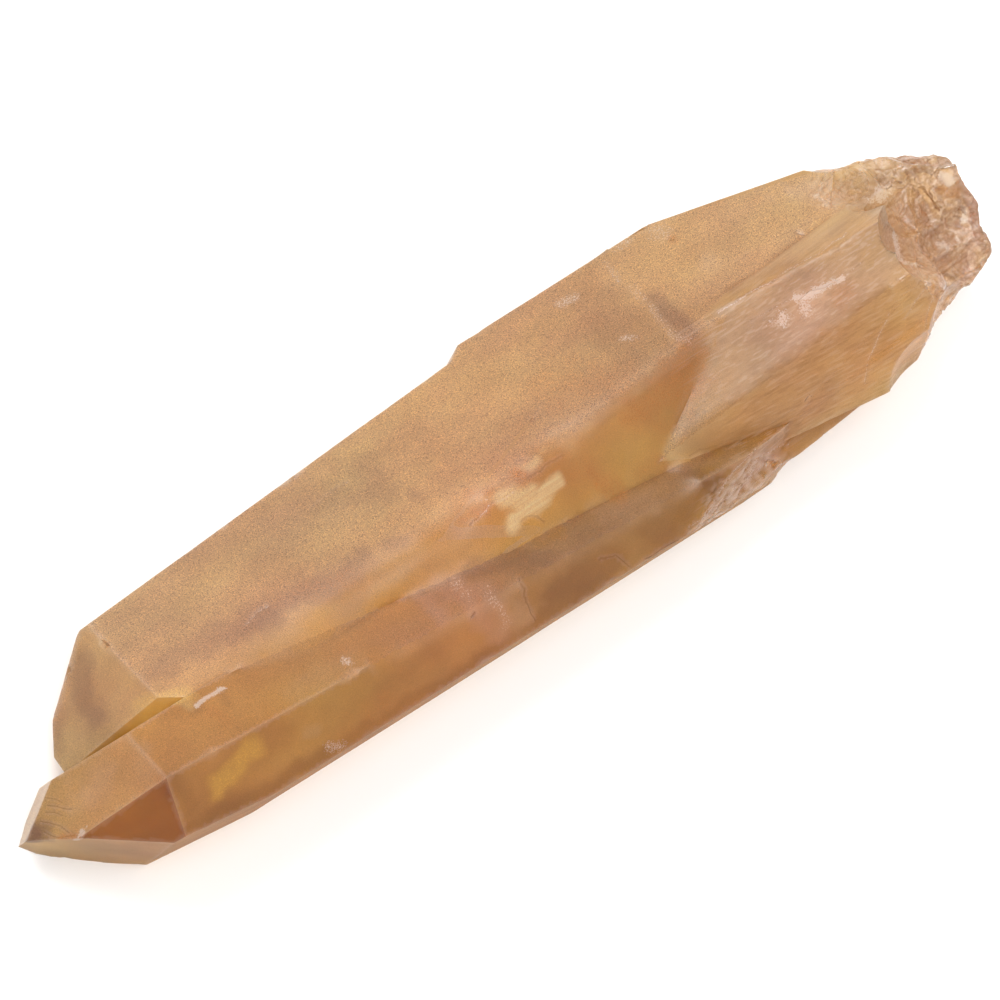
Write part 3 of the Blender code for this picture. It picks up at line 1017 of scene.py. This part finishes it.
class Bench:
    """Lays out shader nodes in one tree and joins them."""

    def __init__(self, tree):
        self.tree = tree

    def join(self, value, socket):
        if isinstance(value, bpy.types.NodeSocket):
            self.tree.links.new(value, socket)
        else:
            socket.default_value = value

    def node(self, kind, inputs=None, **settings):
        made = self.tree.nodes.new(kind)
        for name, value in settings.items():
            setattr(made, name, value)
        for name, value in (inputs or {}).items():
            self.join(value, made.inputs[name])
        return made

    def sum(self, operation, first, second, third=0.5):
        made = self.node("ShaderNodeMath", operation=operation)
        for index, value in enumerate((first, second, third)):
            self.join(value, made.inputs[index])
        return made.outputs[0]

    def blend(self, share, first, second, how="MIX"):
        made = self.node("ShaderNodeMix", data_type="RGBA", blend_type=how, clamp_factor=True)
        for index, value in ((0, share), (6, first), (7, second)):
            self.join(value, made.inputs[index])
        return made.outputs[2]

    def spread(self, value, low, high, to_low=0.0, to_high=1.0):
        made = self.node("ShaderNodeMapRange", interpolation_type="SMOOTHSTEP")
        for index, number in enumerate((value, low, high, to_low, to_high)):
            self.join(number, made.inputs[index])
        return made.outputs[0]

    def noise(self, place, scale, detail, roughness):
        return self.node("ShaderNodeTexNoise", {
            "Vector": place, "Scale": scale, "Detail": detail, "Roughness": roughness}).outputs[0]

    def mask(self, name):
        return self.node("ShaderNodeAttribute", attribute_name=name).outputs["Fac"]

    def scaled(self, place, scale):
        return self.node("ShaderNodeMapping", {"Vector": place, "Scale": scale}).outputs[0]


def stone_material(settings):
    """Frosted skin over honey-gold quartz, glassy where it is broken.

    The stone's colour, its painted highlights and shade included, and its roughness come from its mesh. Fine noise
    adds the sandy frost, the streaks of the raised crystal and the fractures and of the painted flash of light,
    and the painted glints on the white bruises.
    """
    material = bpy.data.materials.new("frosted_citrine")
    material.use_nodes = True
    tree = material.node_tree
    tree.nodes.clear()
    bench = Bench(tree)
    place = bench.node("ShaderNodeTexCoord").outputs["Object"]
    frost, lined, rust, glow, honey, white, rough = (bench.mask(name) for name in STONE_MASKS)
    grain = bench.noise(place, GRAIN_SCALE, 1.0, 0.7)
    speck = bench.noise(place, SPECK_SCALE, 0.0, 0.5)
    streak = bench.noise(bench.scaled(place, (1.0 / STREAK_STRETCH, 1.0, 1.0)), STREAK_SCALE, 1.0, 0.65)

    body = bench.node("ShaderNodeAttribute", attribute_name="body").outputs["Color"]
    # Rust and honey are the stone's own colour; the glow share paints a flash of light off an inner fracture.
    for mask, texture, low, high, least, tone in ((rust, grain, 0.4, 0.6, 0.4, RUST),
                                                  (glow, streak, 0.35, 0.6, 0.7, FLASH_REFLECTION),
                                                  (honey, grain, 0.35, 0.65, 0.6, HONEY)):
        share = bench.sum("MULTIPLY", mask, bench.spread(texture, low, high, least, 1.0))
        body = bench.blend(share, body, (*tone, 1.0))
    skin = bench.sum("MULTIPLY", frost, bench.spread(grain, 0.42, 0.58, 0.0, 0.9))
    sandy = bench.blend(bench.spread(speck, 0.35, 0.65), (*SAND_DARK, 1.0), (*SAND_LIGHT, 1.0))
    body = bench.blend(skin, body, sandy, "MULTIPLY")
    bright = bench.sum("MULTIPLY", lined, bench.spread(streak, 0.54, 0.68, 0.0, 0.28))
    body = bench.blend(bright, body, (*PALE_LINE, 1.0))
    dim = bench.sum("MULTIPLY", lined, bench.spread(streak, 0.46, 0.34, 0.0, 0.4))
    body = bench.blend(dim, body, (*DARK_LINE, 1.0), "MULTIPLY")
    # Painted glints sparkle over the white bruises.
    bruise_glints = bench.sum("MULTIPLY_ADD", white, 0.5, bench.sum("SUBTRACT", grain, 0.7))
    solid = bench.spread(white, 0.02, 0.2, 0.0, 0.75)
    bruise_glints = bench.sum("MULTIPLY", bench.spread(bruise_glints, -0.06, 0.18), solid)
    body = bench.blend(bruise_glints, body, (*BRUISE_GLINT, 1.0))

    relief_of_frost = bench.node("ShaderNodeBump", {
        "Strength": 0.2, "Distance": settings.frost_relief, "Height": speck})
    shader = bench.node("ShaderNodeBsdfPrincipled", {
        "Base Color": body, "Roughness": rough, "IOR": settings.refraction, "Specular IOR Level": 0.4,
        "Transmission Weight": settings.clearness, "Normal": relief_of_frost.outputs[0]})
    depth = bench.node("ShaderNodeVolumeAbsorption", {
        "Color": (*settings.depth_colour, 1.0), "Density": settings.depth_density})
    output = bench.node("ShaderNodeOutputMaterial")
    bench.join(shader.outputs[0], output.inputs["Surface"])
    bench.join(depth.outputs[0], output.inputs["Volume"])
    return material


def area_lamp(name, place, aim, size, power):
    lamp = bpy.data.lights.new(name, "AREA")
    lamp.shape = "DISK"
    lamp.size = size
    lamp.energy = power
    item = bpy.data.objects.new(name, lamp)
    item.location = place
    item.rotation_euler = (Vector(aim) - Vector(place)).to_track_quat("-Z", "Y").to_euler()
    bpy.context.scene.collection.objects.link(item)


def whole_world(brightness):
    """Even white light from every side."""
    world = bpy.data.worlds.new("studio")
    world.use_nodes = True
    sky = world.node_tree.nodes["Background"]
    sky.inputs["Color"].default_value = (1.0, 1.0, 1.0, 1.0)
    sky.inputs["Strength"].default_value = brightness
    bpy.context.scene.world = world


def paper_floor(width, tone):
    """A square of matt paper, level with the rest face."""
    mesh = bpy.data.meshes.new("floor")
    half = width / 2.0
    corners = [(-half, -half, 0.0), (half, -half, 0.0), (half, half, 0.0), (-half, half, 0.0)]
    mesh.from_pydata(corners, [], [(0, 1, 2, 3)])
    paper = bpy.data.materials.new("white_paper")
    paper.use_nodes = True
    shader = paper.node_tree.nodes["Principled BSDF"]
    shader.inputs["Base Color"].default_value = (*tone, 1.0)
    shader.inputs["Roughness"].default_value = 0.9
    mesh.materials.append(paper)
    floor = bpy.data.objects.new("floor", mesh)
    bpy.context.scene.collection.objects.link(floor)
    return floor


def long_view(distance, lens, tilt, turn):
    """A camera over the growth axis, leant toward the points and turned about its own line of sight."""
    camera = bpy.data.cameras.new("camera")
    camera.lens = lens
    camera.sensor_width = SENSOR
    camera.clip_start = 0.01
    camera.clip_end = 10.0
    right, up, toward = view_axes(tilt, turn)
    item = bpy.data.objects.new("camera", camera)
    facing = Matrix((right, up, toward)).transposed().to_4x4()
    item.matrix_world = Matrix.Translation(toward * distance + Vector(AXIS) * MM) @ facing
    bpy.context.scene.collection.objects.link(item)
    bpy.context.scene.camera = item


# ---------------------------------------------------------------- settings, buttons and panel

def tone_setting(name, description, default):
    """A colour that the sidebar shows, in linear red, green and blue."""
    return FloatVectorProperty(name=name, description=description, default=default, min=0.0, max=1.0, size=3,
                               subtype="COLOR")


class StoneSettings(bpy.types.PropertyGroup):
    """Sizes, colours and clearness of the stone."""

    face_spacing: FloatProperty(
        name="Face spacing", description="Distance between neighbouring points of the grown faces",
        default=COARSE_SPACING * MM, min=0.0003, soft_max=0.002, precision=5, unit="LENGTH")
    fracture_spacing: FloatProperty(
        name="Fracture spacing", description="Distance between neighbouring points of the broken base",
        default=FINE_SPACING * MM, min=0.00015, soft_max=0.001, precision=5, unit="LENGTH")
    skin_colour: tone_setting("Frosted skin", "Colour of the frosted faces", (0.62, 0.445, 0.25))
    golden_colour: tone_setting("Golden faces", "Colour of the clearer honey-gold faces", (0.66, 0.42, 0.11))
    amber_colour: tone_setting("Amber facets", "Colour of the dark facets at the point", (0.34, 0.14, 0.008))
    pale_colour: tone_setting("Pale straw", "Colour of pale and broken stone", (0.70, 0.53, 0.27))
    milk_colour: tone_setting("Milky clouds", "Colour of the milky clouds", (0.80, 0.63, 0.50))
    depth_colour: tone_setting("Depth colour", "What white light turns into as it crosses the stone",
                               (0.98, 0.80, 0.42))
    depth_density: FloatProperty(
        name="Depth density", description="How fast the depth colour takes over, for each metre of stone",
        default=80.0, min=0.0, soft_max=400.0)
    frost_roughness: FloatProperty(
        name="Frost roughness", description="Roughness of the frosted faces", default=0.36, min=0.12, max=1.0,
        subtype="FACTOR")
    frost_relief: FloatProperty(
        name="Frost relief", description="Height of the frost's fine grain", default=0.0001, min=0.0,
        soft_max=0.001, precision=5, unit="LENGTH")
    clearness: FloatProperty(
        name="Clearness", description="Share of light that passes into the stone", default=0.74, min=0.0,
        max=1.0, subtype="FACTOR")
    refraction: FloatProperty(
        name="Refractive index", description="How strongly quartz bends light", default=1.544, min=1.0,
        max=2.5)


class StageSettings(bpy.types.PropertyGroup):
    """Floor, light and view of the setting."""

    floor_width: FloatProperty(
        name="Floor width", description="Side of the square paper floor", default=3.0, min=0.3, unit="LENGTH")
    floor_colour: tone_setting("Floor colour", "Colour of the paper floor", (0.94, 0.94, 0.94))
    sky_strength: FloatProperty(
        name="Sky strength", description="Strength of the even light from every side", default=0.75, min=0.0)
    side_power: FloatProperty(
        name="Side lamp", description="Power of the soft lamp at the side", default=5.0, min=0.0,
        unit="POWER")
    top_power: FloatProperty(
        name="Top lamp", description="Power of the soft lamp overhead", default=4.0, min=0.0, unit="POWER")
    view_distance: FloatProperty(
        name="View distance", description="Distance from the camera to the stone",
        default=VIEW_DISTANCE * MM, min=0.2, unit="LENGTH")
    lens: FloatProperty(
        name="Lens", description="Focal length of the camera", default=LENS, min=20.0, unit="CAMERA")
    view_tilt: FloatProperty(
        name="View tilt", description="Lean of the view from straight above toward the points",
        default=VIEW_TILT, subtype="ANGLE")
    view_turn: FloatProperty(
        name="View turn", description="Turn of the picture about the line of sight", default=VIEW_TURN,
        subtype="ANGLE")


class CITRINE_OT_set_stage(bpy.types.Operator):
    """Lay the paper floor, hang the soft lamps and set the camera"""

    bl_idname = "citrine.set_stage"
    bl_label = "Set Stage"

    def execute(self, context):
        settings = context.scene.citrine_stage
        context.scene.view_settings.view_transform = "Standard"
        whole_world(settings.sky_strength)
        paper_floor(settings.floor_width, settings.floor_colour)
        area_lamp("soft_left", (0.1, -0.5, 0.6), (0.0, 0.0, 0.0), 0.5, settings.side_power)
        area_lamp("soft_over", (0.0, 0.1, 0.9), (0.0, 0.0, 0.0), 0.6, settings.top_power)
        long_view(settings.view_distance, settings.lens, settings.view_tilt, settings.view_turn)
        return {"FINISHED"}


class CITRINE_OT_build_stone(bpy.types.Operator):
    """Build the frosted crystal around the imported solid"""

    bl_idname = "citrine.build_stone"
    bl_label = "Build Stone"

    def execute(self, context):
        settings = context.scene.citrine_stone
        coarse = round(settings.face_spacing / MM, 4)
        fine = round(settings.fracture_spacing / MM, 4)
        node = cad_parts["crystal"]
        points, triangles, sources, normals, trace, crease_wear_and_highlight = surface(node, coarse, fine)
        piece = mesh_object("citrine_point", points, triangles)
        made = masks(node, points, triangles, sources, normals, trace, crease_wear_and_highlight)
        made["lined"] = np.maximum(made["broken"], made["crown"])
        made["rough"] = stone_roughness(made, settings)
        for name in STONE_MASKS:
            paint(piece, name, made[name])
        paint(piece, "body", stone_colours(made, settings))
        piece.data.materials.append(stone_material(settings))
        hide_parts("crystal")
        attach(piece, "root")
        return {"FINISHED"}


class CITRINE_PT_sidebar(bpy.types.Panel):
    """The stage's and the stone's settings, each over its own button"""

    bl_label = "Citrine Point"
    bl_idname = "CITRINE_PT_sidebar"
    bl_space_type = "VIEW_3D"
    bl_region_type = "UI"
    bl_category = "Citrine"

    def draw(self, context):
        for group, button in (("citrine_stage", "citrine.set_stage"),
                              ("citrine_stone", "citrine.build_stone")):
            settings = getattr(context.scene, group)
            box = self.layout.box()
            for name in type(settings).__annotations__:
                box.prop(settings, name)
            box.operator(button)


CLASSES = (StoneSettings, StageSettings, CITRINE_OT_set_stage, CITRINE_OT_build_stone, CITRINE_PT_sidebar)


def register():
    for made in CLASSES:
        bpy.utils.register_class(made)
    bpy.types.Scene.citrine_stone = PointerProperty(type=StoneSettings)
    bpy.types.Scene.citrine_stage = PointerProperty(type=StageSettings)


def unregister():
    del bpy.types.Scene.citrine_stage
    del bpy.types.Scene.citrine_stone
    for made in reversed(CLASSES):
        bpy.utils.unregister_class(made)


def main():
    register()
    bpy.ops.citrine.set_stage()
    bpy.ops.citrine.build_stone()
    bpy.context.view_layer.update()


if __name__ == "__main__":
    main()
